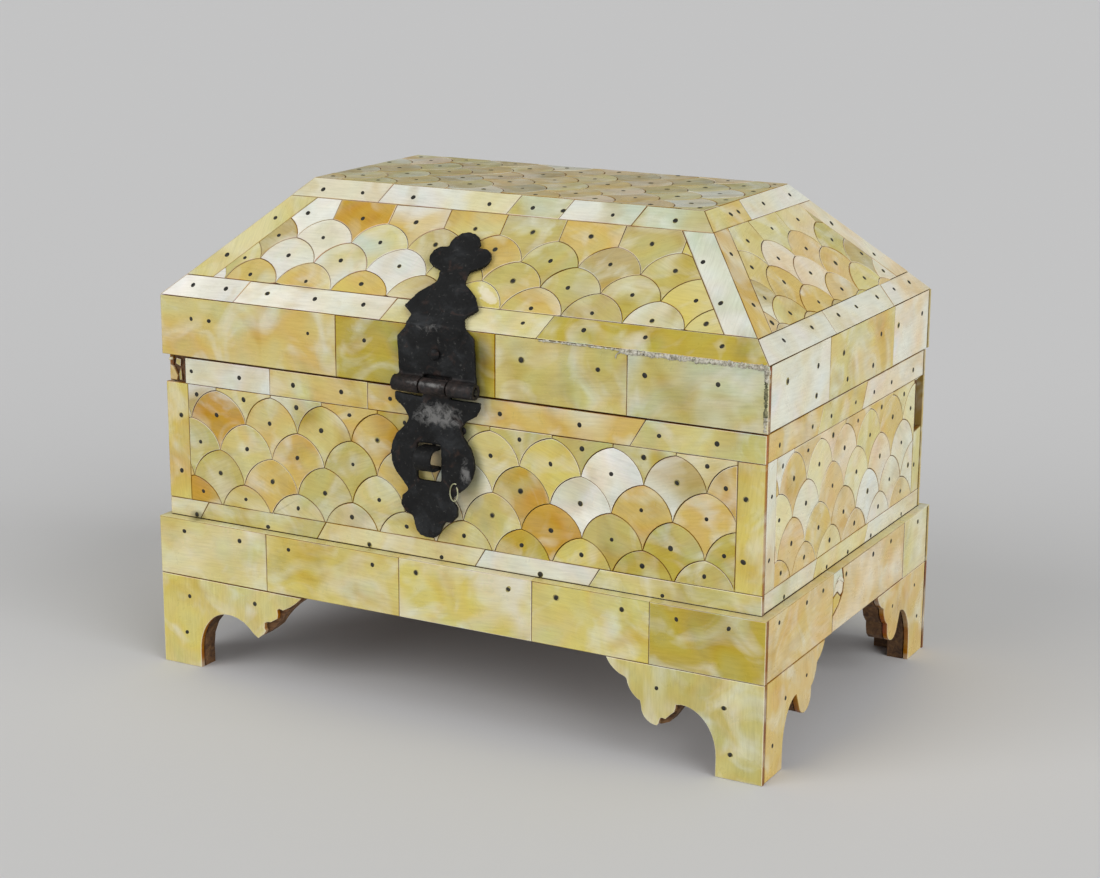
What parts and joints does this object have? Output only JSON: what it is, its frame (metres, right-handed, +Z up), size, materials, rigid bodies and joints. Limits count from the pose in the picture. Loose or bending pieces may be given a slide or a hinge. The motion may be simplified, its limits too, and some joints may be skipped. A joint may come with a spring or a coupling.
{
  "type": "mother of pearl casket",
  "caption": "Small wooden casket overlaid with pinned mother of pearl scales, with a hipped hinged lid, an iron hasp and staple, a low plinth and bracket feet.",
  "frame": {"origin": "on the ground under the middle of the box", "axes": "+Z up, the front with the hasp faces -Y, +X along the casket's length to the viewer's right"},
  "size_m": [0.204, 0.1363, 0.151],
  "materials": {
    "nacre": "polished mother of pearl, cream to honey",
    "wood": "dark, unpolished",
    "iron": "black, pitted"
  },
  "bodies": {
    "base": {"body_back_border": "nacre", "body_back_scales": "nacre", "body_front_border": "nacre", "body_front_scales": "nacre", "body_left_border": "nacre", "body_left_scales": "nacre", "body_right_border": "nacre", "body_right_scales": "nacre", "box": "wood", "foot_back_left": "wood", "foot_back_left_back_plate": "nacre", "foot_back_left_left_plate": "nacre", "foot_back_right": "wood", "foot_back_right_back_plate": "nacre", "foot_back_right_right_plate": "nacre", "foot_front_left": "wood", "foot_front_left_front_plate": "nacre", "foot_front_left_left_plate": "nacre", "foot_front_right": "wood", "foot_front_right_front_plate": "nacre", "foot_front_right_right_plate": "nacre", "hinge_left_body_strap": "iron", "hinge_left_pin": "iron", "hinge_right_body_strap": "iron", "hinge_right_pin": "iron", "plinth_back_plates": "nacre", "plinth_back_strip": "wood", "plinth_front_plates": "nacre", "plinth_front_strip": "wood", "plinth_left_plates": "nacre", "plinth_left_strip": "wood", "plinth_right_plates": "nacre", "plinth_right_strip": "wood", "staple": "iron"},
    "lid": {"hasp_pin": "iron", "hasp_rivet": "iron", "hasp_strap": "iron", "hinge_left_lid_strap": "iron", "hinge_right_lid_strap": "iron", "lid": "wood", "lid_back_slope_border": "nacre", "lid_back_slope_scales": "nacre", "lid_back_wall_plates": "nacre", "lid_front_slope_border": "nacre", "lid_front_slope_scales": "nacre", "lid_front_wall_plates": "nacre", "lid_left_slope_border": "nacre", "lid_left_slope_scales": "nacre", "lid_left_wall_plates": "nacre", "lid_right_slope_border": "nacre", "lid_right_slope_scales": "nacre", "lid_right_wall_plates": "nacre", "lid_top_scales": "nacre"},
    "hasp": {"hasp_leaf": "iron"}
  },
  "joints": [
    {"name": "lid_hinge", "type": "hinge", "parent": "base", "child": "lid", "pos_m": [0, 0.0651, 0.09825], "axis": [-1, 0, 0], "range_deg": [0, 100]},
    {"name": "hasp_pivot", "type": "hinge", "parent": "lid", "child": "hasp", "pos_m": [-0.001, -0.0653, 0.1002], "axis": [-1, 0, 0], "range_deg": [0, 180]}
  ]
}
